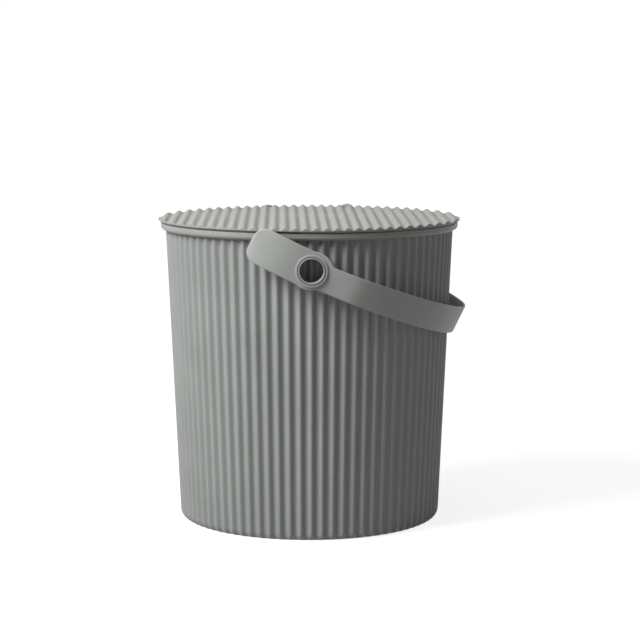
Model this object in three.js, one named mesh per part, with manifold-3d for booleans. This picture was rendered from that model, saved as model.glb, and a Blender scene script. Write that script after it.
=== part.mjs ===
// A ribbed plastic bucket with a lift-off lid and a swinging strap handle.
//
// Three moulded pieces: the bucket, the lid that rests on its rim, and the handle whose two
// eyes turn on the bucket's hollow bosses. Millimetres, +Z up. The origin is the middle of the
// base, the pivots lie on the Y axis and the handle hangs down on the +X side.

import * as THREE from 'three';
import { mergeVertices } from 'three/addons/utils/BufferGeometryUtils.js';
import Module from 'manifold-3d';

const wasm = await Module();
wasm.setup();

// Bucket: a tapered wall of rounded upright ribs with one even thickness
const baseRadius = 123.2;
const topRadius = 135.7;
const bucketHeight = 281.9;
const wallThickness = 2.6;
const ribCount = 80;
const ribDepth = 3.2;
const ribSides = 4;
const floorThickness = 3.2;
const baseEdgeRadius = 7;
const floorCornerRadius = 5;
const baseGrooveRadius = 102;
const baseGrooveWidth = 3;
const baseGrooveDepth = 1.2;

// Rim: a thick smooth collar round the mouth
const rimOverhang = 4.7;
const rimHeight = 7.1;
const rimFaceHeight = 3.8;
const rimTopRound = 1;
const mouthStep = 1.2;

// Lid: a corrugated sheet on a plain edge, with a skirt that drops into the mouth
const lidEdgeHeight = 2.1;
const lidRibPitch = 9.38;
const lidRibDepth = 2.3;
const lidRibSides = 6;
const lidNoseOverhang = 2.1;
const lidNoseThickness = 0.7;
const lidSheetThickness = 2.2;
const skirtDepth = 5.4;
const skirtThickness = 2;
const skirtClearance = 0.5;
const restingGap = 0.3;

// Finger tab on the far side of the lid's edge
const tabletRadius = 8.3;
const tabletThickness = 2.4;
const tabletRise = 1.3;
const tabletBearing = THREE.MathUtils.degToRad(73.6);

// Pivots: a hollow boss on a shoulder, front and back
const pivotDrop = 32.5;
const bossBoreRadius = 10.6;
const bossWall = 1.5;
const bossProud = 1.2;
const shoulderWidth = 4.4;
const eyeClearance = 0.45;
const shoulderClearance = 0.4;

// Handle: one flat strap, wider at the grip, with a tab beyond each eye
const strapThickness = 3.6;
const strapWidth = 24.2;
const gripWidth = 27.4;
const strapDrop = 2;
const strapBendRadius = 40;
const eyeRadius = 17.8;
const eyeCollarWidth = 2;
const eyeCollarHeight = 0.7;
const eyeFillet = 9;
const tabLength = 59.5;
const tabWidth = 33.4;
const tabCornerRadius = 11;
const tabBendRadius = 90;
const tabAngle = THREE.MathUtils.degToRad(4);
const strapSideClearance = 3.2;
const strapSweepClearance = 4.6;
const strapRestGap = 3.7;

// Smoothness and the small lengths by which cutting and joining bodies run past a face
const roundSides = 96;
const smallRoundSides = 40;
const overrun = 4;
const sink = 0.6;

// Sizes that follow from the ones above
const rimRadius = topRadius + rimOverhang;
const rimBottom = bucketHeight - rimHeight;
const mouthRadius = topRadius - ribDepth - wallThickness + mouthStep;
const lidBottom = bucketHeight + restingGap;
const lidValley = lidBottom + lidEdgeHeight;
const lidTop = lidValley + lidRibDepth;
const lidNoseRadius = rimRadius + lidNoseOverhang;
const skirtRadius = mouthRadius - skirtClearance;
const pivotHeight = bucketHeight - pivotDrop;
const bossRadius = bossBoreRadius + bossWall;
const shoulderRadius = bossRadius + shoulderWidth;
const eyeBoreRadius = bossRadius + eyeClearance;
const strapInnerY = lidNoseRadius + strapSideClearance;
const strapOuterY = strapInnerY + strapThickness;
const shoulderY = strapInnerY - shoulderClearance;
const bossEndY = strapOuterY + bossProud;
const loopInnerRadius = Math.hypot(lidNoseRadius, lidTop - pivotHeight) + strapSweepClearance;
const loopOuterRadius = loopInnerRadius + strapThickness;

const bucketPlastic = new THREE.MeshStandardMaterial({ color: 0x8a8d89, roughness: 0.5, metalness: 0 });
const lidPlastic = new THREE.MeshStandardMaterial({ color: 0x93958f, roughness: 0.55, metalness: 0 });
const handlePlastic = new THREE.MeshStandardMaterial({ color: 0x868985, roughness: 0.45, metalness: 0 });

// A closed geometry as a solid that can be joined and cut
function solidOf(geometry) {
  const bare = geometry.clone();
  bare.deleteAttribute('normal');
  bare.deleteAttribute('uv');
  const merged = mergeVertices(bare, 1e-4);
  const corners = merged.index.array;
  const kept = [];
  for (let i = 0; i < corners.length; i += 3) {
    const [a, b, c] = [corners[i], corners[i + 1], corners[i + 2]];
    if (a !== b && b !== c && c !== a) kept.push(a, b, c);
  }
  const vertProperties = new Float32Array(merged.attributes.position.array);
  const triVerts = new Uint32Array(kept);
  return new wasm.Manifold(new wasm.Mesh({ numProp: 3, vertProperties, triVerts }));
}

// A finished solid as a named mesh
function meshOf(solid, name, material) {
  const { vertProperties, triVerts } = solid.getMesh();
  const geometry = new THREE.BufferGeometry();
  geometry.setAttribute('position', new THREE.BufferAttribute(vertProperties, 3));
  geometry.setIndex(new THREE.BufferAttribute(triVerts, 1));
  geometry.computeVertexNormals();
  const mesh = new THREE.Mesh(geometry, material);
  mesh.name = name;
  return mesh;
}

// Points along an arc, from one angle to another, both ends included
function arcPoints(centreX, centreY, radius, startAngle, endAngle, steps) {
  const points = [];
  for (let i = 0; i <= steps; i += 1) {
    const angle = startAngle + ((endAngle - startAngle) * i) / steps;
    points.push(new THREE.Vector2(centreX + radius * Math.cos(angle), centreY + radius * Math.sin(angle)));
  }
  return points;
}

// A profile of [radius, height] pairs, listed upwards, turned about the upright axis
function turned(profile, sides = roundSides) {
  const points = profile.map(([radius, height]) => new THREE.Vector2(radius, height));
  return new THREE.LatheGeometry(points, sides, Math.PI / sides).rotateX(Math.PI / 2);
}

// An upright cylinder between two heights
function uprightCylinder(radius, bottom, top) {
  return solidOf(turned([[0, bottom], [radius, bottom], [radius, top], [0, top]]));
}

// A cylinder along Y between two distances from the middle, on the side that `side` gives
function pivotCylinder(radius, innerY, outerY, side) {
  const geometry = new THREE.CylinderGeometry(radius, radius, outerY - innerY, smallRoundSides);
  geometry.translate(0, (side * (innerY + outerY)) / 2, 0);
  return solidOf(geometry);
}

// Radius of the rib crests at a height
function crestRadius(height) {
  return baseRadius + ((topRadius - baseRadius) * height) / rimBottom;
}

// A turned body whose surface is pressed in between the ribs. Each row of the profile is
// [crest radius, height, depth of the valleys]. Crests and valleys each keep a narrow flat.
function ribbedSolid(profile) {
  const geometry = turned(profile, ribCount * ribSides);
  const position = geometry.attributes.position;
  const rowLength = profile.length;
  const flatPhase = Math.cos(Math.PI / ribSides);
  for (let i = 0; i < position.count; i += 1) {
    const depth = profile[i % rowLength][2];
    const [x, y] = [position.getX(i), position.getY(i)];
    const radius = Math.hypot(x, y);
    if (radius > depth && depth > 0) {
      const wave = (1 - Math.cos(ribCount * Math.atan2(y, x)) / flatPhase) / 2;
      const scale = (radius - depth * wave) / radius;
      position.setXY(i, x * scale, y * scale);
    }
  }
  return solidOf(geometry);
}

// Rows of a rounded edge between the floor and the wall, its ribs fading out towards the floor
function roundedEdgeRows(floorHeight, edgeRadius, inset, steps) {
  const rows = [[0, floorHeight, 0]];
  const wallStart = crestRadius(floorHeight + edgeRadius) - inset;
  for (let i = 0; i <= steps; i += 1) {
    const angle = (Math.PI / 2) * (i / steps);
    const radius = wallStart - edgeRadius * (1 - Math.sin(angle));
    rows.push([radius, floorHeight + edgeRadius * (1 - Math.cos(angle)), ribDepth * Math.sin(angle)]);
  }
  return rows;
}

function ribbedWall() {
  const top = rimBottom + sink;
  const rows = roundedEdgeRows(0, baseEdgeRadius, 0, 2);
  rows.push([crestRadius(top), top, ribDepth], [0, top, 0]);
  return ribbedSolid(rows);
}

function ribbedCavity() {
  const rows = roundedEdgeRows(floorThickness, floorCornerRadius, wallThickness, 1);
  rows.push([crestRadius(rimBottom) - wallThickness, rimBottom, ribDepth], [0, rimBottom, 0]);
  const mouth = uprightCylinder(mouthRadius, rimBottom - sink, bucketHeight + overrun);
  return ribbedSolid(rows).add(mouth);
}

// The rim's section: a flat outer face that rounds in underneath to meet the ribs
function rimRing() {
  const faceBottom = bucketHeight - rimFaceHeight;
  const underRise = faceBottom - rimBottom;
  const under = arcPoints(0, 0, 1, 0, Math.PI / 2, 3).map((point) => [
    topRadius + rimOverhang * point.y,
    faceBottom - underRise * point.x,
  ]);
  const roundX = rimRadius - rimTopRound;
  const round = arcPoints(roundX, bucketHeight - rimTopRound, rimTopRound, 0, Math.PI / 2, 2);
  const upper = round.map((point) => [point.x, point.y]);
  return solidOf(turned([[0, rimBottom], ...under, ...upper, [0, bucketHeight]]));
}

// One hollow boss on its shoulder. Its bore ends on the ribbed wall.
function pivotBoss(side) {
  const rootY = crestRadius(pivotHeight) - ribDepth - wallThickness;
  return pivotCylinder(shoulderRadius, rootY, shoulderY, side)
    .add(pivotCylinder(bossRadius, rootY, bossEndY, side))
    .subtract(pivotCylinder(bossBoreRadius, rootY - overrun, bossEndY + overrun, side))
    .translate([0, 0, pivotHeight]);
}

function baseGroove() {
  const half = baseGrooveWidth / 2;
  const outer = uprightCylinder(baseGrooveRadius + half, -overrun, baseGrooveDepth);
  return outer.subtract(uprightCylinder(baseGrooveRadius - half, -2 * overrun, overrun));
}

function bucket() {
  const solid = ribbedWall()
    .add(rimRing())
    .add(pivotBoss(-1))
    .add(pivotBoss(1))
    .subtract(ribbedCavity())
    .subtract(baseGroove());
  return meshOf(solid, 'bucket', bucketPlastic);
}

// A slab with a corrugated top that runs along Y: its valley lies at the height given, over
// the middle of the lid, and its underside is flat
function corrugatedSlab(bottom, valley, halfLength) {
  const ribsEachSide = Math.ceil(lidNoseRadius / lidRibPitch);
  const shape = new THREE.Shape();
  const reach = ribsEachSide * lidRibPitch;
  shape.moveTo(-reach, bottom);
  shape.lineTo(reach, bottom);
  for (let i = 2 * ribsEachSide * lidRibSides; i >= 0; i -= 1) {
    const phase = (2 * Math.PI * i) / lidRibSides;
    shape.lineTo((lidRibPitch * i) / lidRibSides - reach, valley + (lidRibDepth * (1 - Math.cos(phase))) / 2);
  }
  const slab = new THREE.ExtrudeGeometry(shape, { depth: 2 * halfLength, bevelEnabled: false });
  return solidOf(slab.rotateX(Math.PI / 2).translate(0, halfLength, 0));
}

// The rounded tab stands on the lid's edge, just outside the rim, to lift the lid by
function fingerTab() {
  const bottom = lidBottom + restingGap;
  const centreHeight = lidTop + tabletRise - tabletRadius;
  const innerX = rimRadius - tabletThickness;
  const disc = new THREE.CylinderGeometry(tabletRadius, tabletRadius, 2 * tabletThickness, smallRoundSides);
  disc.rotateZ(Math.PI / 2).translate(innerX + tabletThickness, 0, centreHeight);
  const above = uprightCylinder(rimRadius + overrun, bottom, lidTop + overrun);
  return solidOf(disc).intersect(above).rotate([0, 0, THREE.MathUtils.radToDeg(tabletBearing)]);
}

function lid() {
  const noseBottom = lidValley - lidNoseThickness;
  const plate = uprightCylinder(rimRadius, lidBottom, noseBottom + lidNoseThickness / 2);
  const crests = corrugatedSlab(lidBottom, lidValley, lidNoseRadius + overrun)
    .intersect(uprightCylinder(lidNoseRadius, noseBottom, lidTop + overrun));
  const skirt = uprightCylinder(skirtRadius, bucketHeight - skirtDepth, lidBottom + sink)
    .subtract(uprightCylinder(skirtRadius - skirtThickness, bucketHeight - 2 * skirtDepth, lidTop));
  const hollow = corrugatedSlab(lidBottom - overrun, lidValley - lidSheetThickness, lidNoseRadius)
    .intersect(uprightCylinder(skirtRadius - skirtThickness, lidBottom - overrun, lidTop));
  const solid = plate.add(crests).add(skirt).add(fingerTab()).subtract(hollow);
  return meshOf(solid, 'lid', lidPlastic);
}

// The strap seen from above, lying flat: tabs that curve in towards the bucket, straight arms,
// a bend, then a loop about the pivots
function strapPlan() {
  const armY = strapInnerY;
  const bendY = armY - strapBendRadius;
  const bendX = Math.sqrt((loopInnerRadius - strapBendRadius) ** 2 - bendY ** 2);
  const turn = Math.atan2(bendY, bendX);
  const tabY = armY - tabBendRadius;
  const tabTurn = Math.asin((tabLength + overrun - eyeRadius) / tabBendRadius);
  const path = (tabRadius, bendRadius, loopRadius) => [
    ...arcPoints(-eyeRadius, -tabY, tabRadius, -Math.PI / 2 - tabTurn, -Math.PI / 2, 6),
    ...arcPoints(bendX, -bendY, bendRadius, -Math.PI / 2, -turn, 5),
    ...arcPoints(0, 0, loopRadius, -turn, turn, 40).slice(1, -1),
    ...arcPoints(bendX, bendY, bendRadius, turn, Math.PI / 2, 5),
    ...arcPoints(-eyeRadius, tabY, tabRadius, Math.PI / 2, Math.PI / 2 + tabTurn, 6),
  ];
  const outer = path(tabBendRadius + strapThickness, strapBendRadius + strapThickness, loopOuterRadius);
  const inner = path(tabBendRadius, strapBendRadius, loopInnerRadius);
  const height = 2 * tabWidth + 2 * eyeRadius;
  const shape = new THREE.Shape([...outer, ...inner.reverse()]);
  const plan = new THREE.ExtrudeGeometry(shape, { depth: height, bevelEnabled: false });
  return solidOf(plan.translate(0, 0, -height / 2));
}

// A flat outline in X and Z, thick enough along Y to reach past both arms
function acrossStrap(points) {
  const depth = 2 * (strapOuterY + overrun);
  const slab = new THREE.ExtrudeGeometry(new THREE.Shape(points), { depth, bevelEnabled: false });
  return solidOf(slab.rotateX(Math.PI / 2).translate(0, depth / 2, 0));
}

// Upper and lower edge of the strap, measured from the pivot line, at the arm and at the grip
const armUpper = strapWidth / 2 - strapDrop;
const armLower = strapWidth / 2 + strapDrop;
const gripUpper = gripWidth / 2 - strapDrop;
const gripLower = gripWidth / 2 + strapDrop;

// The arm and grip seen from the side, flowing out of the round eye
function strapSide() {
  const reach = loopOuterRadius + overrun;
  const fillet = (edge) => {
    const centreX = Math.sqrt((eyeRadius + eyeFillet) ** 2 - (edge + eyeFillet) ** 2);
    const leave = Math.atan2(edge + eyeFillet, centreX) + Math.PI;
    return arcPoints(centreX, edge + eyeFillet, eyeFillet, leave, 1.5 * Math.PI, 4);
  };
  return acrossStrap([
    new THREE.Vector2(0, 0),
    ...fillet(armLower).map((point) => new THREE.Vector2(point.x, -point.y)),
    new THREE.Vector2(reach, -gripLower),
    new THREE.Vector2(reach, gripUpper),
    ...fillet(armUpper).reverse(),
  ]);
}

// The tab beyond the eye, with two round corners
function tabSide() {
  const half = tabWidth / 2;
  const cornerX = tabCornerRadius - tabLength;
  const cornerY = half - tabCornerRadius;
  return acrossStrap([
    new THREE.Vector2(0, -half),
    new THREE.Vector2(0, half),
    ...arcPoints(cornerX, cornerY, tabCornerRadius, Math.PI / 2, Math.PI, 7),
    ...arcPoints(cornerX, -cornerY, tabCornerRadius, Math.PI, 1.5 * Math.PI, 7),
  ]).rotate([0, THREE.MathUtils.radToDeg(tabAngle), 0]);
}

// How far the strap's lower edge stands off the rib crests when it hangs at an angle
function gapToBucket(angle) {
  const x = loopInnerRadius * Math.cos(angle) - gripLower * Math.sin(angle);
  const height = pivotHeight - loopInnerRadius * Math.sin(angle) - gripLower * Math.cos(angle);
  return x - crestRadius(height);
}

// The handle hangs where its strap stands off the bucket by the rest gap
function restAngle() {
  let [low, high] = [0, Math.PI / 4];
  for (let i = 0; i < 40; i += 1) {
    const middle = (low + high) / 2;
    if (gapToBucket(middle) > strapRestGap) low = middle;
    else high = middle;
  }
  return low;
}

function handle() {
  const eyes = [-1, 1].map((side) => pivotCylinder(eyeRadius, strapInnerY, strapOuterY, side));
  const collars = [-1, 1].map((side) => (
    pivotCylinder(eyeBoreRadius + eyeCollarWidth, strapInnerY, strapOuterY + eyeCollarHeight, side)
  ));
  const bores = [-1, 1].map((side) => (
    pivotCylinder(eyeBoreRadius, strapInnerY - overrun, bossEndY + overrun, side)
  ));
  const solid = strapPlan()
    .intersect(strapSide().add(tabSide()))
    .add(eyes[0]).add(eyes[1])
    .add(collars[0]).add(collars[1])
    .subtract(bores[0]).subtract(bores[1]);
  const mesh = meshOf(solid, 'handle', handlePlastic);
  mesh.position.set(0, 0, pivotHeight);
  mesh.rotation.y = restAngle();
  return mesh;
}

const group = new THREE.Group();
group.add(bucket(), lid(), handle());

export default group;
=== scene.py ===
# %% [markdown]
# # A ribbed bucket with a lid and a strap handle
# The real thing is three mouldings in grey polypropylene: the bucket, a corrugated lid that rests
# on its rim, and a flat strap handle that turns on two hollow bosses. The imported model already
# holds their sizes and places, so each piece here is modelled over its CAD node and replaces it.

# %% Load the frame
import math

import bmesh
import bpy
from mathutils import Matrix, Vector


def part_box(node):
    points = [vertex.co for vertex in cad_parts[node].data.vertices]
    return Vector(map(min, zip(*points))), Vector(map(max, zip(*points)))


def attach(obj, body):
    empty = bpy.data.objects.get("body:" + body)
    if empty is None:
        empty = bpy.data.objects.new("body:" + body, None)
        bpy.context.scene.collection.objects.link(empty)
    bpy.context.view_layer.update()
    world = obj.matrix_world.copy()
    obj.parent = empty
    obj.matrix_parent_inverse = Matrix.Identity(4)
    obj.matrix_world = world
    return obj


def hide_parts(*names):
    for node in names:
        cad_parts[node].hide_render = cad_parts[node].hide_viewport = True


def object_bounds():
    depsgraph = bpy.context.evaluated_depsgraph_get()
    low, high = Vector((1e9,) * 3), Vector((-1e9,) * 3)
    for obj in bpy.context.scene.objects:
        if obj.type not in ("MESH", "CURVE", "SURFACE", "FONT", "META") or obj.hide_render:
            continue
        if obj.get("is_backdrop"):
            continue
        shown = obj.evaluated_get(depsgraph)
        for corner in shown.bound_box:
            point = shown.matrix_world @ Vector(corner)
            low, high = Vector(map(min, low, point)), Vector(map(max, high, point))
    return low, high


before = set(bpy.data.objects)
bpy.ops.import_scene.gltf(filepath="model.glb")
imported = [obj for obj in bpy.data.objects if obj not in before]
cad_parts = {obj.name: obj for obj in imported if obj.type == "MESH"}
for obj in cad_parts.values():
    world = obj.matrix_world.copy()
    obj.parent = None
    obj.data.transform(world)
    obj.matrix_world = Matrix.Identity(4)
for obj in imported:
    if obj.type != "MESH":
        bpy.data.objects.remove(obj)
cad_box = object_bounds()
bucket_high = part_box("bucket")[1]
lid_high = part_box("lid")[1]
print("frame loaded:", sorted(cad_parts), "height", round(cad_box[1].z, 4))

# %% [markdown]
# ## The camera
# The photograph was taken from a little above the rim and from far away, so the upright edges
# stay almost parallel. A long lens at a distance gives the same calm perspective. The distances
# are measured in lid radii, because the lid is the widest circle that the photograph shows.

# %% Camera
LID_RADIUS = lid_high.x
CAMERA_DISTANCE = 14.268 * LID_RADIUS
CAMERA_HEIGHT = 3.1545 * LID_RADIUS
CAMERA_BEARING = math.radians(0.8)
CAMERA_PITCH = math.radians(7.357)
CAMERA_YAW = math.radians(1.086)
SENSOR_WIDTH = 36.0
LENS = 120.9

bpy.ops.object.camera_add()
camera = bpy.context.object
camera.name = "camera"
camera.location = (
    -CAMERA_DISTANCE * math.sin(CAMERA_BEARING),
    -CAMERA_DISTANCE * math.cos(CAMERA_BEARING),
    CAMERA_HEIGHT,
)
camera.rotation_euler = (math.pi / 2 - CAMERA_PITCH, 0, -CAMERA_YAW)
camera.data.sensor_width = SENSOR_WIDTH
camera.data.lens = LENS
bpy.context.scene.camera = camera
print("camera at", [round(v, 3) for v in camera.location])

# %% [markdown]
# ## Small helpers
# Everything below is modelled with operators, as by hand. An operator works on whatever is
# selected, so each step first selects exactly what it should touch.

# %% Helpers for selecting and for modifiers
MM = 0.001
QUARTER = math.pi / 2
SMOOTH_BELOW = 40
STRAP_SMOOTH_BELOW = 35
TINY = 1e-9


def pick_object(piece):
    bpy.ops.object.select_all(action="DESELECT")
    piece.select_set(True)
    bpy.context.view_layer.objects.active = piece


def begin_edit(piece, mode="VERT"):
    pick_object(piece)
    bpy.ops.object.mode_set(mode="EDIT")
    bpy.ops.mesh.select_mode(type=mode)


def end_edit():
    bpy.ops.mesh.select_all(action="SELECT")
    bpy.ops.mesh.normals_make_consistent(inside=False)
    bpy.ops.object.mode_set(mode="OBJECT")


def mark(mesh, verts, state):
    for vert in verts:
        vert.select = state
    mesh.select_flush_mode()


def apply_modifier(piece, kind, **settings):
    pick_object(piece)
    modifier = piece.modifiers.new(kind.title(), kind)
    for key, value in settings.items():
        setattr(modifier, key, value)
    bpy.ops.object.modifier_apply(modifier=modifier.name)


def combine(piece, tool, operation):
    """Joins a tool body to the piece or cuts it out, and throws the tool away."""
    apply_modifier(piece, "BOOLEAN", operation=operation, solver="EXACT", object=tool)
    bpy.data.objects.remove(tool)


def place(piece, location, rotation=(0, 0, 0)):
    """Moves and turns the piece, with its place kept in its mesh."""
    pick_object(piece)
    piece.location = location
    piece.rotation_euler = rotation
    bpy.ops.object.transform_apply(location=True, rotation=True, scale=True)


def settle(piece, body, node, smooth_angle):
    """Smooth shading, and the piece's place in the frame: its body and its node."""
    pick_object(piece)
    bpy.ops.object.shade_smooth_by_angle(angle=math.radians(smooth_angle))
    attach(piece, body)
    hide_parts(node)
    print(piece.name, "faces", len(piece.data.polygons))


# %% [markdown]
# ## Turned bodies
# Most of this object is round, so most of it can be turned: a circle is extruded row by row
# along its axis and scaled to each row's radius. A row may also ask for ribs. Then the vertices
# between the crests are scaled towards the axis, step by step round the circle.

# %% Turn a profile into a body
RIBS = 80
STEPS_PER_RIB = 12
RIB_DEPTH = 3.2 * MM
TOP_RADIUS = 135.7 * MM


def quarter(steps):
    """Angles that step from just past 0 to a right angle."""
    return [QUARTER * (i + 1) / steps for i in range(steps)]


def press_ribs(piece, share_before, share_after):
    """Scales the selected row, phase by phase, from one share of the rib depth to another."""
    mesh = bmesh.from_edit_mesh(piece.data)
    row = [vert for vert in mesh.verts if vert.select]
    phases = {}
    for vert in row:
        turn = math.atan2(vert.co.y, vert.co.x) / (2 * math.pi)
        phases.setdefault(round(turn * RIBS * STEPS_PER_RIB) % STEPS_PER_RIB, []).append(vert)
    for phase, verts in phases.items():
        wave = (1 - math.cos(2 * math.pi * phase / STEPS_PER_RIB)) / 2
        before = 1 - RIB_DEPTH / TOP_RADIUS * wave * share_before
        factor = (1 - RIB_DEPTH / TOP_RADIUS * wave * share_after) / before
        mark(mesh, row, False)
        mark(mesh, verts, True)
        bpy.ops.transform.resize(value=(factor, factor, 1), center_override=(0, 0, 0))
    mark(mesh, row, True)


def turned_body(name, rows, sides):
    """A closed body from rows of (radius, height) or (radius, height, share of rib depth)."""
    rows = [row if len(row) == 3 else (*row, 0) for row in rows]
    bpy.ops.object.select_all(action="DESELECT")
    bpy.ops.mesh.primitive_circle_add(
        vertices=sides, radius=rows[0][0], location=(0, 0, rows[0][1]), fill_type="NGON"
    )
    piece = bpy.context.object
    piece.name = piece.data.name = name
    place(piece, piece.location)
    begin_edit(piece)
    bpy.ops.mesh.select_all(action="SELECT")
    for (radius, height, share), (next_radius, next_height, next_share) in zip(rows, rows[1:]):
        bpy.ops.mesh.extrude_region_move(
            TRANSFORM_OT_translate={"value": (0, 0, next_height - height)}
        )
        factor = next_radius / radius
        bpy.ops.transform.resize(value=(factor, factor, 1), center_override=(0, 0, 0))
        if next_share != share:
            press_ribs(piece, share, next_share)
    end_edit()
    return piece


# %% [markdown]
# ## The bucket
# The wall is one thin sheet of rounded ribs. It is made as two turned bodies, the outside and
# the space inside, which is cut out at the end. The ribs fade out round the lower edge, and stop
# under a thick smooth rim.

# %% The bucket's sizes
WALL = 2.6 * MM
BASE_RADIUS = 123.2 * MM
RIM_RADIUS = bucket_high.x
RIM_TOP = 281.9 * MM
RIM_BOTTOM = RIM_TOP - 7.1 * MM
RIM_FACE_BOTTOM = RIM_TOP - 3.8 * MM
RIM_ROUND = 1.0 * MM
RIM_UNDERCUT = 0.4 * MM
MOUTH_RADIUS = 131.1 * MM
MOUTH_ROUND = 0.8 * MM
LEDGE_FALL = 4 * MM
BASE_EDGE = 7.0 * MM
FLOOR_TOP = 3.2 * MM
FLOOR_CORNER = 5.0 * MM
GROOVE_RADIUS = 102 * MM
GROOVE_HALF = 1.5 * MM
GROOVE_DEPTH = 1.2 * MM
OVERRUN = 5 * MM


def crest_radius(height):
    return BASE_RADIUS + (TOP_RADIUS - BASE_RADIUS) * height / RIM_BOTTOM


# %% Outside of the bucket
def outside_rows():
    inner, outer = GROOVE_RADIUS - GROOVE_HALF, GROOVE_RADIUS + GROOVE_HALF
    wall_foot = crest_radius(BASE_EDGE)
    rows = [(inner, 0), (inner, GROOVE_DEPTH), (outer, GROOVE_DEPTH), (outer, 0)]
    rows.append((wall_foot - BASE_EDGE, 0))
    for a in quarter(6):
        radius = wall_foot - BASE_EDGE * (1 - math.sin(a))
        rows.append((radius, BASE_EDGE * (1 - math.cos(a)), math.sin(a)))
    rows.append((TOP_RADIUS, RIM_BOTTOM, 1))
    rim_root = TOP_RADIUS + RIM_UNDERCUT
    rows.append((rim_root, RIM_BOTTOM))
    for a in quarter(6):
        radius = rim_root + (RIM_RADIUS - rim_root) * math.sin(a)
        rows.append((radius, RIM_FACE_BOTTOM - (RIM_FACE_BOTTOM - RIM_BOTTOM) * math.cos(a)))
    rows.append((RIM_RADIUS, RIM_TOP - RIM_ROUND))
    for a in quarter(4):
        radius = RIM_RADIUS - RIM_ROUND * (1 - math.cos(a))
        rows.append((radius, RIM_TOP - RIM_ROUND * (1 - math.sin(a))))
    return rows


bucket = turned_body("bucket_body", outside_rows(), RIBS * STEPS_PER_RIB)
print("outside of the bucket:", len(bucket.data.vertices), "vertices")


# %% Space inside the bucket
def inside_rows():
    corner_top = FLOOR_TOP + FLOOR_CORNER
    wall_foot = crest_radius(corner_top) - WALL
    rows = [(wall_foot - FLOOR_CORNER, FLOOR_TOP)]
    for a in quarter(5):
        radius = wall_foot - FLOOR_CORNER * (1 - math.sin(a))
        rows.append((radius, corner_top - FLOOR_CORNER * math.cos(a), math.sin(a)))
    ledge = RIM_BOTTOM - LEDGE_FALL
    rows.append((crest_radius(ledge) - WALL, ledge, 1))
    rows.append((MOUTH_RADIUS, RIM_BOTTOM))
    rows.append((MOUTH_RADIUS, RIM_TOP - MOUTH_ROUND))
    for a in quarter(3):
        radius = MOUTH_RADIUS + MOUTH_ROUND * (1 - math.cos(a))
        rows.append((radius, RIM_TOP - MOUTH_ROUND * (1 - math.sin(a))))
    rows.append((MOUTH_RADIUS + MOUTH_ROUND, RIM_TOP + OVERRUN))
    return rows


inside = turned_body("bucket_inside", inside_rows(), RIBS * STEPS_PER_RIB)

# %% [markdown]
# ## The bosses
# The handle turns on a hollow boss at the front and another at the back. Each is a short tube on
# a wider shoulder, with soft edges, and its bore ends on the ribbed wall. It starts deep in the
# wall, so that cutting out the inside trims it flush.

# %% Model the bosses
PIVOT_HEIGHT = RIM_TOP - 32.5 * MM
BORE_RADIUS = 10.6 * MM
BOSS_RADIUS = 12.1 * MM
SHOULDER_RADIUS = 16.5 * MM
BOSS_REACH = bucket_high.y
SHOULDER_REACH = BOSS_REACH - 5.2 * MM
EDGE_ROUND = 0.5 * MM
BOSS_SIDES = 96


def boss_rows():
    root = crest_radius(PIVOT_HEIGHT) - RIB_DEPTH - WALL
    rows = [(SHOULDER_RADIUS, root), (SHOULDER_RADIUS, SHOULDER_REACH - EDGE_ROUND)]
    for a in quarter(3):
        radius = SHOULDER_RADIUS - EDGE_ROUND * (1 - math.cos(a))
        rows.append((radius, SHOULDER_REACH - EDGE_ROUND * (1 - math.sin(a))))
    rows += [(BOSS_RADIUS, SHOULDER_REACH), (BOSS_RADIUS, BOSS_REACH - EDGE_ROUND)]
    for a in quarter(3):
        radius = BOSS_RADIUS - EDGE_ROUND * (1 - math.cos(a))
        rows.append((radius, BOSS_REACH - EDGE_ROUND * (1 - math.sin(a))))
    for a in quarter(3):
        radius = BORE_RADIUS + EDGE_ROUND * (1 - math.sin(a))
        rows.append((radius, BOSS_REACH - EDGE_ROUND * (1 - math.cos(a))))
    rows.append((BORE_RADIUS, root + WALL / 2))
    return rows


for side, lean in (("front", QUARTER), ("back", -QUARTER)):
    boss = turned_body("boss_" + side, boss_rows(), BOSS_SIDES)
    place(boss, (0, 0, PIVOT_HEIGHT), (lean, 0, 0))
    combine(bucket, boss, "UNION")
combine(bucket, inside, "DIFFERENCE")
settle(bucket, "bucket", "bucket", SMOOTH_BELOW)

# %% [markdown]
# ## The lid
# The lid's top is a corrugated sheet with straight waves, cut to a circle. One circle of
# vertices gives the whole edge: its rows run from the hollow underneath, round the skirt and the
# plain edge, up to the waves. The waves are made by lifting each vertex with its mirror images
# left and right, front and back. Then each sheet is bridged from the front half of the edge to
# the back half, so that its long faces lie along the waves.

# %% The lid's sizes
NOSE_RADIUS = LID_RADIUS
LID_BOTTOM = RIM_TOP + 0.3 * MM
LID_VALLEY = LID_BOTTOM + 2.1 * MM
WAVE_PITCH = 9.38 * MM
WAVE_DEPTH = 2.3 * MM
NOSE_BOTTOM = LID_VALLEY - 0.7 * MM
NOSE_ROUND = 0.22 * MM
SHEET = 2.2 * MM
SKIRT_RADIUS = 130.6 * MM
SKIRT_INSIDE = 128.6 * MM
SKIRT_BOTTOM = RIM_TOP - 5.4 * MM
SKIRT_ROUND = 0.4 * MM
PLATE_ROUND = 0.5 * MM
LID_SIDES = 1120
MICRON = 1e-6


def lift_waves(piece, direction):
    """Moves the selected row up or down by the waves, one distance from x = 0 at a time."""
    mesh = bmesh.from_edit_mesh(piece.data)
    row = [vert for vert in mesh.verts if vert.select]
    steps = {}
    for vert in row:
        steps.setdefault(round(abs(vert.co.x) / MICRON), []).append(vert)
    for verts in steps.values():
        lift = WAVE_DEPTH * (1 - math.cos(2 * math.pi * verts[0].co.x / WAVE_PITCH)) / 2
        mark(mesh, row, False)
        mark(mesh, verts, True)
        bpy.ops.transform.translate(value=(0, 0, direction * lift))
    mark(mesh, row, True)


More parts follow.
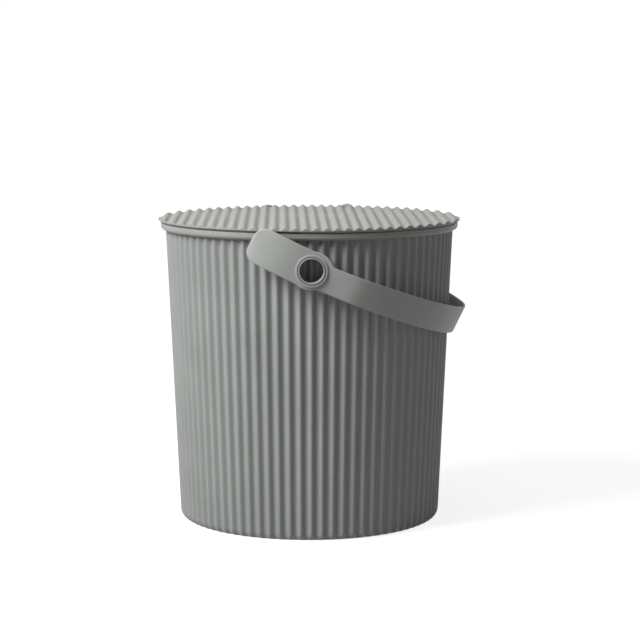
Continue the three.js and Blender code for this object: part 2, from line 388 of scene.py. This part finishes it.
# %% Rows of the lid's edge
# Each row is (radius, height above or below its waves, whether it is waved).
def lid_rows():
    rows = [
        (SKIRT_INSIDE, LID_VALLEY - SHEET, True),
        (SKIRT_INSIDE, SKIRT_BOTTOM + SKIRT_ROUND, False),
        (SKIRT_INSIDE + SKIRT_ROUND, SKIRT_BOTTOM, False),
        (SKIRT_RADIUS - SKIRT_ROUND, SKIRT_BOTTOM, False),
        (SKIRT_RADIUS, SKIRT_BOTTOM + SKIRT_ROUND, False),
        (SKIRT_RADIUS, LID_BOTTOM, False),
        (RIM_RADIUS - PLATE_ROUND, LID_BOTTOM, False),
    ]
    for a in quarter(3):
        radius = RIM_RADIUS - PLATE_ROUND * (1 - math.sin(a))
        rows.append((radius, LID_BOTTOM + PLATE_ROUND * (1 - math.cos(a)), False))
    rows += [
        (RIM_RADIUS, NOSE_BOTTOM, False),
        (NOSE_RADIUS - NOSE_ROUND, NOSE_BOTTOM, False),
        (NOSE_RADIUS, NOSE_BOTTOM + NOSE_ROUND, False),
        (NOSE_RADIUS, LID_VALLEY - NOSE_ROUND, True),
    ]
    for a in quarter(3):
        radius = NOSE_RADIUS - NOSE_ROUND * (1 - math.cos(a))
        rows.append((radius, LID_VALLEY - NOSE_ROUND * (1 - math.sin(a)), True))
    return rows


# %% Model the lid
def bridge_sheet(piece, outer):
    """Joins the front half of the outer or inner open edge to its back half by long faces."""
    bpy.ops.mesh.select_all(action="DESELECT")
    bpy.ops.mesh.select_mode(type="EDGE")
    mesh = bmesh.from_edit_mesh(piece.data)
    halfway = (NOSE_RADIUS + SKIRT_INSIDE) / 2
    chosen = 0
    for edge in mesh.edges:
        first, second = (vert.co for vert in edge.verts)
        on_ring = edge.is_boundary and (first.xy.length > halfway) == outer
        if on_ring and first.y * second.y > 0:
            edge.select = True
            chosen += 1
    bpy.ops.mesh.bridge_edge_loops()
    bpy.ops.mesh.select_mode(type="VERT")
    print("bridged", chosen, "edges of the lid's", "top" if outer else "underside")


rows = lid_rows()
bpy.ops.object.select_all(action="DESELECT")
bpy.ops.mesh.primitive_circle_add(vertices=LID_SIDES, radius=rows[0][0], location=(0, 0, 0))
lid = bpy.context.object
lid.name = lid.data.name = "lid_body"
place(lid, (0, 0, rows[0][1]), (0, 0, math.pi / LID_SIDES))
begin_edit(lid)
bpy.ops.mesh.select_all(action="SELECT")
lift_waves(lid, 1)
for (radius, height, waved), (next_radius, next_height, next_waved) in zip(rows, rows[1:]):
    bpy.ops.mesh.extrude_region_move(
        TRANSFORM_OT_translate={"value": (0, 0, next_height - height)}
    )
    factor = next_radius / radius
    bpy.ops.transform.resize(value=(factor, factor, 1), center_override=(0, 0, 0))
    if waved != next_waved:
        lift_waves(lid, 1 if next_waved else -1)
bridge_sheet(lid, outer=True)
bridge_sheet(lid, outer=False)
end_edit()
print("lid:", len(lid.data.vertices), "vertices")

# %% [markdown]
# ## The lid's finger tab
# At the back a small rounded tongue stands up from the edge, to lift the lid by. It is a short
# cylinder laid on its side with softened edges, cut off level with the lid's edge.

# %% Model the finger tab
TAB_RADIUS = 8.3 * MM
TAB_THICKNESS = 4.8 * MM
TAB_TOP = lid_high.z
TAB_BEARING = math.radians(73.6)
TAB_EDGE = 0.9 * MM
TAB_FOOT = LID_BOTTOM + 0.35 * MM
TAB_SIDES = 72

bpy.ops.object.select_all(action="DESELECT")
bpy.ops.mesh.primitive_cylinder_add(
    vertices=TAB_SIDES, radius=TAB_RADIUS, depth=TAB_THICKNESS
)
finger_tab = bpy.context.object
place(finger_tab, (0, 0, 0), (0, QUARTER, 0))
begin_edit(finger_tab, "EDGE")
tab_mesh = bmesh.from_edit_mesh(finger_tab.data)
for edge in tab_mesh.edges:
    edge.select = edge.verts[0].co.x * edge.verts[1].co.x > 0
bpy.ops.mesh.bevel(offset=TAB_EDGE, segments=3)
end_edit()
place(finger_tab, (RIM_RADIUS, 0, TAB_TOP - TAB_RADIUS))
begin_edit(finger_tab)
bpy.ops.mesh.select_all(action="SELECT")
bpy.ops.mesh.bisect(
    plane_co=(0, 0, TAB_FOOT), plane_no=(0, 0, 1), use_fill=True, clear_inner=True
)
end_edit()
place(finger_tab, (0, 0, 0), (0, 0, TAB_BEARING))
combine(lid, finger_tab, "UNION")
settle(lid, "lid", "lid", SMOOTH_BELOW)

# %% [markdown]
# ## The handle
# The handle is one flat strap with rounded edges, bent into a loop. It is drawn like a strip
# pulled through a die: a rounded rectangle is extruded from station to station, turned as the
# strap bends, and its upper and lower halves are moved apart or together where the strap swells
# into the eye or narrows at the corners. One half is modelled and mirrored.

# %% The handle's sizes
STRAP = 3.6 * MM
STRAP_EDGE = 1.5 * MM
STRAP_MIDDLE = BOSS_REACH - 3.0 * MM
STRAP_DROP = 2.0 * MM
ARM_WIDTH = 24.2 * MM
GRIP_WIDTH = 27.4 * MM
BEND_RADIUS = 41.8 * MM
LOOP_RADIUS = 153.676 * MM
EYE_RADIUS = 17.8 * MM
EYE_FILLET = 9.0 * MM
TAB_LENGTH = 59.5 * MM
TAB_HALF = 16.7 * MM
TAB_CORNER = 11.0 * MM
TAB_ANGLE = math.radians(4)
TAB_BEND = 91.8 * MM
REST_ANGLE = math.radians(21.948)
GRIP_END = LOOP_RADIUS + STRAP / 2 + 4 * MM
BEND_STEPS = 5
LOOP_STEPS = 36
CORNER_STEPS = 10
MERGE_REACH = 0.02 * MM

BEND_Y = STRAP_MIDDLE - BEND_RADIUS
BEND_X = math.sqrt((LOOP_RADIUS - BEND_RADIUS) ** 2 - BEND_Y ** 2)
BEND_TURN = math.atan2(BEND_Y, BEND_X)


def edge_height(x, arm_edge, grip_edge):
    """Height of the strap's upper or lower edge above or below the pivots' line."""
    centre = math.sqrt((EYE_RADIUS + EYE_FILLET) ** 2 - (arm_edge + EYE_FILLET) ** 2)
    leave = centre * EYE_RADIUS / (EYE_RADIUS + EYE_FILLET)
    if x < leave:
        return math.sqrt(EYE_RADIUS ** 2 - x ** 2)
    if x < centre:
        return arm_edge + EYE_FILLET - math.sqrt(EYE_FILLET ** 2 - (centre - x) ** 2)
    return arm_edge + (grip_edge - arm_edge) * (x - centre) / (GRIP_END - centre)


def tab_half(distance):
    """Half the tab's height at a distance before the pivot."""
    corner = TAB_LENGTH - TAB_CORNER
    if distance > corner:
        slant = math.acos(min((distance - corner) / TAB_CORNER, 1))
        return TAB_HALF - TAB_CORNER + TAB_CORNER * math.sin(slant)
    if distance < EYE_RADIUS:
        return max(TAB_HALF, math.sqrt(EYE_RADIUS ** 2 - distance ** 2))
    return TAB_HALF


# %% Stations along the handle
# Each station is (place, heading, tilt, upper edge, lower edge, thickness). They stand close
# together where the outline turns quickly, so at the eye's sides their places in x are given
# in millimetres before and past the pivot.
PLAIN_STEP = 6 * MM
BEFORE_PIVOT = (18, 12, 6.1, 5, 4, 3, 2, 1, 0)
PAST_PIVOT = (2, 4, 6, 7.5, 9, 10, 11, 12.5, 13.6, 15, 17, 18.8, 22, 27)


def tab_stations():
    stations = []
    swell = [STRAP_EDGE * (1 - math.cos(a)) for a in [0] + quarter(5)]
    corner = [
        TAB_CORNER * (1 - math.cos(QUARTER * i / CORNER_STEPS))
        for i in range(CORNER_STEPS // 2, CORNER_STEPS + 1)
    ]
    plain = [TAB_CORNER + PLAIN_STEP * i for i in range(1, 5)]
    eye = [TAB_LENGTH - distance * MM for distance in BEFORE_PIVOT]
    for depth in swell + corner + plain + eye:
        distance = TAB_LENGTH - depth
        half = tab_half(distance)
        cut = max(STRAP_EDGE - depth, 0)
        thickness = STRAP - 2 * (STRAP_EDGE - math.sqrt(STRAP_EDGE ** 2 - cut ** 2))
        x, z = -distance * math.cos(TAB_ANGLE), distance * math.sin(TAB_ANGLE)
        turn = math.asin(max(-x - EYE_RADIUS, 0) / TAB_BEND)
        y = TAB_BEND * (1 - math.cos(turn)) - STRAP_MIDDLE
        stations.append((Vector((x, y, z)), -turn, TAB_ANGLE, half, half, thickness))
    return stations


def arm_stations():
    upper_arm, lower_arm = ARM_WIDTH / 2 - STRAP_DROP, ARM_WIDTH / 2 + STRAP_DROP
    upper_grip, lower_grip = GRIP_WIDTH / 2 - STRAP_DROP, GRIP_WIDTH / 2 + STRAP_DROP
    places = [(x * MM, -STRAP_MIDDLE, 0) for x in PAST_PIVOT]
    for i in range(BEND_STEPS + 1):
        heading = (QUARTER - BEND_TURN) * i / BEND_STEPS
        x = BEND_X + BEND_RADIUS * math.sin(heading)
        y = -BEND_Y - BEND_RADIUS * math.cos(heading)
        places.append((x, y, heading))
    for i in range(1, LOOP_STEPS + 1):
        heading = QUARTER - BEND_TURN + BEND_TURN * i / LOOP_STEPS
        x, y = LOOP_RADIUS * math.sin(heading), -LOOP_RADIUS * math.cos(heading)
        places.append((x, y, heading))
    return [
        (Vector((x, y, 0)), heading, 0, edge_height(x, upper_arm, upper_grip),
         edge_height(x, lower_arm, lower_grip), STRAP)
        for x, y, heading in places
    ]


# %% Pull the strap from station to station
def strap_blank(station):
    """The first section: a plane across the strap with its four corners rounded."""
    spot, heading, tilt, upper, lower, thickness = station
    bpy.ops.object.select_all(action="DESELECT")
    bpy.ops.mesh.primitive_plane_add(size=1)
    piece = bpy.context.object
    piece.name = piece.data.name = "handle_strap"
    piece.scale = (upper + lower, STRAP, 1)
    place(piece, (0, 0, 0))
    begin_edit(piece)
    bpy.ops.mesh.select_all(action="SELECT")
    bpy.ops.mesh.bevel(offset=STRAP_EDGE, segments=5, affect="VERTICES")
    bpy.ops.object.mode_set(mode="OBJECT")
    piece.scale = (1, thickness / STRAP, 1)
    place(piece, (0, 0, 0), (0, QUARTER + tilt, 0))
    place(piece, spot, (0, 0, heading))
    return piece


def turn_section(angle, axis, centre):
    """Turns the selected section. Without a window the operator turns the other way."""
    if abs(angle) > TINY:
        bpy.ops.transform.rotate(value=-angle, orient_axis=axis, center_override=centre)


def thicken_section(factor, heading, centre):
    across = Matrix.Rotation(heading, 3, "Z").transposed()
    bpy.ops.transform.resize(
        value=(1, factor, 1), orient_type="LOCAL", orient_matrix=across,
        orient_matrix_type="LOCAL", center_override=centre,
    )


def pull_strap(piece, stations):
    begin_edit(piece)
    bpy.ops.mesh.select_all(action="SELECT")
    for before, after in zip(stations, stations[1:]):
        spot, heading, tilt, upper, lower, thickness = after
        bpy.ops.mesh.extrude_region_move(TRANSFORM_OT_translate={"value": spot - before[0]})
        turn_section(heading - before[1], "Z", spot)
        turn_section(tilt - before[2], "Y", spot)
        if thickness != before[5]:
            thicken_section(thickness / before[5], heading, spot)
        move_edges(piece, spot, heading, tilt, upper - before[3], lower - before[4])


def move_edges(piece, spot, heading, tilt, rise, fall):
    """Moves the section's upper half up by `rise` and its lower half down by `fall`."""
    up = Matrix.Rotation(heading, 3, "Z") @ Vector((math.sin(tilt), 0, math.cos(tilt)))
    mesh = bmesh.from_edit_mesh(piece.data)
    section = [vert for vert in mesh.verts if vert.select]
    halves = (
        ([vert for vert in section if (vert.co - spot).dot(up) > 0], up * rise),
        ([vert for vert in section if (vert.co - spot).dot(up) <= 0], -up * fall),
    )
    for verts, move in halves:
        if move.length > TINY:
            mark(mesh, section, False)
            mark(mesh, verts, True)
            bpy.ops.transform.translate(value=move)
    mark(mesh, section, True)


# %% Model the handle
# The last section is pressed flat onto the middle plane, so that the mirrored half meets it
# vertex for vertex.
stations = tab_stations() + arm_stations()
handle = strap_blank(stations[0])
pull_strap(handle, stations)
bpy.ops.transform.resize(value=(1, 0, 1), center_override=(0, 0, 0))
bpy.ops.mesh.select_mode(type="FACE")
bpy.ops.mesh.delete(type="FACE")
end_edit()
apply_modifier(handle, "MIRROR", use_axis=(False, True, False), use_clip=True,
               merge_threshold=MERGE_REACH)
begin_edit(handle)
end_edit()
print("strap:", len(handle.data.vertices), "vertices from", len(stations), "stations")

# %% [markdown]
# ## The eyes
# Round each bore the strap has a slightly raised collar, which bears on the boss. A turned disc
# with a soft edge is joined to the strap, and then the bore is cut with a tool that flares at
# its mouth, so that the bore's edge comes out softened too.

# %% Collars and bores
EYE_BORE = 12.55 * MM
COLLAR_RADIUS = EYE_BORE + 2.0 * MM
COLLAR_REACH = BOSS_REACH - 0.5 * MM
COLLAR_ROUND = 0.45 * MM
BORE_FLARE = 0.35 * MM


def collar_rows():
    rows = [(COLLAR_RADIUS, STRAP_MIDDLE), (COLLAR_RADIUS, COLLAR_REACH - COLLAR_ROUND)]
    for a in quarter(3):
        radius = COLLAR_RADIUS - COLLAR_ROUND * (1 - math.cos(a))
        rows.append((radius, COLLAR_REACH - COLLAR_ROUND * (1 - math.sin(a))))
    return rows


def bore_rows():
    rows = [(EYE_BORE, STRAP_MIDDLE - STRAP), (EYE_BORE, COLLAR_REACH - BORE_FLARE)]
    for a in quarter(3):
        radius = EYE_BORE + BORE_FLARE * (1 - math.cos(a))
        rows.append((radius, COLLAR_REACH - BORE_FLARE * (1 - math.sin(a))))
    rows.append((EYE_BORE + BORE_FLARE, COLLAR_REACH + OVERRUN))
    return rows


for lean in (QUARTER, -QUARTER):
    for name, tool_rows, operation in (
        ("collar", collar_rows(), "UNION"), ("eye_bore", bore_rows(), "DIFFERENCE")
    ):
        tool = turned_body(name, tool_rows, BOSS_SIDES)
        place(tool, (0, 0, 0), (lean, 0, 0))
        combine(handle, tool, operation)
place(handle, (0, 0, PIVOT_HEIGHT), (0, REST_ANGLE, 0))
settle(handle, "handle", "handle", STRAP_SMOOTH_BELOW)
print("handle from", [round(v, 4) for v in handle.bound_box[0]],
      "to", [round(v, 4) for v in handle.bound_box[6]])

# %% [markdown]
# ## Shader groups for moulded plastic
# Moulded polypropylene is never one flat grey. It has a fine spark-eroded grain, soft clouds
# where the melt cooled unevenly, and faint marks along the way that it left the mould. Each of
# these effects is one node group, which every plastic uses with its own values.

# %% Helpers for node groups
def node_group(name, inputs, outputs):
    """An empty shader group with named sockets, and the two nodes that hold them."""
    group = bpy.data.node_groups.new(name, "ShaderNodeTree")
    for label, kind, value in inputs:
        socket = group.interface.new_socket(name=label, in_out="INPUT", socket_type=kind)
        if value is not None:
            socket.default_value = value
    for label in outputs:
        group.interface.new_socket(name=label, in_out="OUTPUT", socket_type="NodeSocketFloat")
    return group, group.nodes.new("NodeGroupInput"), group.nodes.new("NodeGroupOutput")


def noise(tree, vector, scale, detail, roughness=0.5):
    node = tree.nodes.new("ShaderNodeTexNoise")
    node.inputs["Detail"].default_value = detail
    node.inputs["Roughness"].default_value = roughness
    tree.links.new(vector, node.inputs["Vector"])
    if isinstance(scale, (int, float)):
        node.inputs["Scale"].default_value = scale
    else:
        tree.links.new(scale, node.inputs["Scale"])
    return node.outputs["Fac"]


def remap(tree, value, low, high, out_low=0.0, out_high=1.0):
    node = tree.nodes.new("ShaderNodeMapRange")
    node.interpolation_type = "SMOOTHSTEP"
    for label, number in (("From Min", low), ("From Max", high),
                          ("To Min", out_low), ("To Max", out_high)):
        node.inputs[label].default_value = number
    tree.links.new(value, node.inputs["Value"])
    return node.outputs["Result"]


def math_node(tree, operation, first, second):
    node = tree.nodes.new("ShaderNodeMath")
    node.operation = operation
    for socket, value in zip(node.inputs, (first, second)):
        if isinstance(value, (int, float)):
            socket.default_value = value
        else:
            tree.links.new(value, socket)
    return node.outputs["Value"]


# %% Grain, clouds and mould marks
VECTOR, FLOAT = "NodeSocketVector", "NodeSocketFloat"
WIDE_GRAIN = 0.22
FINE_SHARE, WIDE_SHARE = 0.6, 0.4
MARK_LINES = 420.0


def grain_group():
    """The fine grain of the mould's surface: a height and a speckle, both from 0 to 1."""
    group, given, made = node_group(
        "moulded_grain", [("Position", VECTOR, None), ("Scale", FLOAT, 1500.0)],
        ["Height", "Speckle"],
    )
    fine = noise(group, given.outputs["Position"], given.outputs["Scale"], 2.0, 0.6)
    wide_scale = math_node(group, "MULTIPLY", given.outputs["Scale"], WIDE_GRAIN)
    wide = noise(group, given.outputs["Position"], wide_scale, 2.0)
    height = math_node(group, "ADD", math_node(group, "MULTIPLY", fine, FINE_SHARE),
                       math_node(group, "MULTIPLY", wide, WIDE_SHARE))
    group.links.new(height, made.inputs["Height"])
    group.links.new(remap(group, fine, 0.35, 0.7), made.inputs["Speckle"])
    return group


def cloud_group():
    """Soft blotches where the melt cooled unevenly, from 0 to 1."""
    group, given, made = node_group(
        "cooling_clouds", [("Position", VECTOR, None), ("Scale", FLOAT, 18.0)], ["Clouds"]
    )
    clouds = noise(group, given.outputs["Position"], given.outputs["Scale"], 4.0, 0.55)
    group.links.new(remap(group, clouds, 0.3, 0.7), made.inputs["Clouds"])
    return group


def marks_group():
    """Thin faint lines along the way that the piece left the mould, from 0 to 1."""
    group, given, made = node_group(
        "mould_marks", [("Position", VECTOR, None), ("Stretch", VECTOR, (1.0, 1.0, 0.03))],
        ["Marks"],
    )
    stretch = group.nodes.new("ShaderNodeVectorMath")
    stretch.operation = "MULTIPLY"
    group.links.new(given.outputs["Position"], stretch.inputs[0])
    group.links.new(given.outputs["Stretch"], stretch.inputs[1])
    lines = noise(group, stretch.outputs["Vector"], MARK_LINES, 3.0, 0.6)
    group.links.new(remap(group, lines, 0.56, 0.72), made.inputs["Marks"])
    return group


GRAIN, CLOUDS, MARKS = grain_group(), cloud_group(), marks_group()
print("shader groups:", [group.name for group in (GRAIN, CLOUDS, MARKS)])


# %% [markdown]
# ## The three plastics
# The bucket, the lid and the handle are the same grey plastic from different moulds, so they
# share one recipe: the base colour shifts a little with the clouds and the speckle, the marks
# are a touch paler and glossier, and the grain gives the matt bump.

# %% How strong each effect is
CLOUD_SCALE = 18.0
DARK_CLOUD, PALE_CLOUD = 0.94, 1.05
SPECKLE_SHARE, DARK_SPECKLE = 0.25, 0.82
MARK_SHARE, PALE_MARK, MARK_GLOSS = 0.18, 1.25, 0.3
BUMP_STRENGTH = 0.6
PLASTIC_IOR = 1.49
SPECULAR_LEVEL = 0.4


# %% Build the plastics
def shade(colour, factor):
    return (*(channel * factor for channel in colour), 1.0)


def mix_colour(tree, factor, first, second):
    node = tree.nodes.new("ShaderNodeMix")
    node.data_type = "RGBA"
    tree.links.new(factor, node.inputs["Factor"])
    for socket, value in ((node.inputs["A"], first), (node.inputs["B"], second)):
        if isinstance(value, tuple):
            socket.default_value = value
        else:
            tree.links.new(value, socket)
    return node.outputs["Result"]


def use_group(tree, group, position, **values):
    node = tree.nodes.new("ShaderNodeGroup")
    node.node_tree = group
    tree.links.new(position, node.inputs["Position"])
    for label, value in values.items():
        node.inputs[label].default_value = value
    return node


def plastic(name, colour, stretch, grain_scale, gloss, bump):
    """A grey moulded plastic. `gloss` is its range of roughness, `bump` its grain in metres."""
    material = bpy.data.materials.new(name)
    material.use_nodes = True
    tree = material.node_tree
    shader = tree.nodes["Principled BSDF"]
    position = tree.nodes.new("ShaderNodeTexCoord").outputs["Object"]
    grain = use_group(tree, GRAIN, position, Scale=grain_scale)
    clouds = use_group(tree, CLOUDS, position, Scale=CLOUD_SCALE)
    marks = use_group(tree, MARKS, position, Stretch=stretch)

    clouded = mix_colour(
        tree, clouds.outputs["Clouds"], shade(colour, DARK_CLOUD), shade(colour, PALE_CLOUD)
    )
    speckle = math_node(tree, "MULTIPLY", grain.outputs["Speckle"], SPECKLE_SHARE)
    speckled = mix_colour(tree, speckle, clouded, shade(colour, DARK_SPECKLE))
    faint = math_node(tree, "MULTIPLY", marks.outputs["Marks"], MARK_SHARE)
    marked = mix_colour(tree, faint, speckled, shade(colour, PALE_MARK))
    tree.links.new(marked, shader.inputs["Base Color"])

    rough = remap(tree, clouds.outputs["Clouds"], 0.0, 1.0, gloss[0], gloss[1])
    rough = math_node(tree, "SUBTRACT", rough, math_node(tree, "MULTIPLY", faint, MARK_GLOSS))
    tree.links.new(rough, shader.inputs["Roughness"])

    relief = tree.nodes.new("ShaderNodeBump")
    relief.inputs["Distance"].default_value = bump
    relief.inputs["Strength"].default_value = BUMP_STRENGTH
    tree.links.new(grain.outputs["Height"], relief.inputs["Height"])
    tree.links.new(relief.outputs["Normal"], shader.inputs["Normal"])
    shader.inputs["IOR"].default_value = PLASTIC_IOR
    shader.inputs["Specular IOR Level"].default_value = SPECULAR_LEVEL
    return material


GREY_BUCKET = (0.262, 0.272, 0.262)
GREY_LID = (0.246, 0.249, 0.228)
GREY_HANDLE = (0.305, 0.315, 0.302)
finishes = {
    bucket: plastic("bucket_plastic", GREY_BUCKET, stretch=(1, 1, 0.03), grain_scale=1500.0,
                    gloss=(0.46, 0.56), bump=0.06 * MM),
    lid: plastic("lid_plastic", GREY_LID, stretch=(1, 0.05, 1), grain_scale=1400.0,
                 gloss=(0.5, 0.6), bump=0.06 * MM),
    handle: plastic("handle_plastic", GREY_HANDLE, stretch=(0.1, 0.1, 1), grain_scale=1700.0,
                    gloss=(0.42, 0.52), bump=0.04 * MM),
}
for piece, finish in finishes.items():
    piece.data.materials.clear()
    piece.data.materials.append(finish)
print("plastics:", [finish.name for finish in finishes.values()])

# %% [markdown]
# ## Studio
# The photograph has a white surround and one big soft light high on the left, which leaves the
# right side in shade. A weak lamp overhead softens the waves of the lid, and a weaker one fills
# the shaded side. The floor is a pale sheet that keeps the object's shadow. What the camera sees
# of the floor and the world is white, while the light that they give stays gentle.

# %% Floor
def seen_directly(tree):
    """1 for camera, glossy and transmission rays, 0 for the rays that carry light."""
    path = tree.nodes.new("ShaderNodeLightPath")
    seen = math_node(tree, "MAXIMUM", path.outputs["Is Camera Ray"], path.outputs["Is Glossy Ray"])
    return math_node(tree, "MAXIMUM", seen, path.outputs["Is Transmission Ray"])


FLOOR_SIZE = 12.0
FLOOR_COLOUR = (0.35, 0.35, 0.35, 1)
FLOOR_LIFT_NEAR = 0.84
FLOOR_LIFT_FAR = 1.0
FLOOR_FADE = (0.5, 1.4)

bpy.ops.object.select_all(action="DESELECT")
bpy.ops.mesh.primitive_plane_add(size=FLOOR_SIZE, location=(0, 0, 0))
floor = bpy.context.object
floor.name = floor.data.name = "floor"
paper = bpy.data.materials.new("white_paper")
paper.use_nodes = True
paper_shader = paper.node_tree.nodes["Principled BSDF"]
paper_shader.inputs["Base Color"].default_value = FLOOR_COLOUR
paper_shader.inputs["Roughness"].default_value = 1.0
paper_shader.inputs["Specular IOR Level"].default_value = 0.0
paper_shader.inputs["Emission Color"].default_value = (1, 1, 1, 1)
spread = paper.node_tree.nodes.new("ShaderNodeVectorMath")
spread.operation = "LENGTH"
floor_place = paper.node_tree.nodes.new("ShaderNodeTexCoord").outputs["Object"]
paper.node_tree.links.new(floor_place, spread.inputs[0])
fade = remap(
    paper.node_tree, spread.outputs["Value"], *FLOOR_FADE, FLOOR_LIFT_NEAR, FLOOR_LIFT_FAR
)
lift = math_node(paper.node_tree, "MULTIPLY", seen_directly(paper.node_tree), fade)
paper.node_tree.links.new(lift, paper_shader.inputs["Emission Strength"])
floor.data.materials.append(paper)
floor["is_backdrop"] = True

# %% World
WORLD_AMBIENT = 0.085

world = bpy.data.worlds.new("studio")
bpy.context.scene.world = world
world.use_nodes = True
background = world.node_tree.nodes["Background"]
background.inputs["Color"].default_value = (1, 1, 1, 1)
seen = math_node(world.node_tree, "MULTIPLY", seen_directly(world.node_tree), 1 - WORLD_AMBIENT)
strength = math_node(world.node_tree, "ADD", seen, WORLD_AMBIENT)
world.node_tree.links.new(strength, background.inputs["Strength"])

# %% Lamps
AIM = Vector((0, 0, 0.15))


def softbox(name, azimuth, elevation, distance, size, power):
    """A square area lamp that looks at the object. Azimuth 0 is the front, 90 the right."""
    turn, climb = math.radians(azimuth), math.radians(elevation)
    toward = Vector((
        math.sin(turn) * math.cos(climb), -math.cos(turn) * math.cos(climb), math.sin(climb)
    ))
    bpy.ops.object.light_add(type="AREA")
    lamp = bpy.context.object
    lamp.name = lamp.data.name = name
    lamp.location = AIM + toward * distance
    lamp.rotation_euler = toward.to_track_quat("Z", "Y").to_euler()
    lamp.data.size = size
    lamp.data.energy = power


softbox("key_softbox", azimuth=-58, elevation=40, distance=1.6, size=0.8, power=37.0)
softbox("top_softbox", azimuth=-20, elevation=84, distance=1.6, size=1.0, power=6.0)
softbox("fill_softbox", azimuth=85, elevation=20, distance=1.8, size=0.6, power=1.8)
print("lamps:", [lamp.name for lamp in bpy.data.lights])

bpy.context.scene.view_settings.view_transform = "Standard"

# %% [markdown]
# ## Finish
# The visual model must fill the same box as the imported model, so both boxes are written down.

# %% Write the sizes and finish
visual_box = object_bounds()
for label, box in (("packed", cad_box), ("visual", visual_box)):
    print(label, [[round(v, 4) for v in corner] for corner in box])
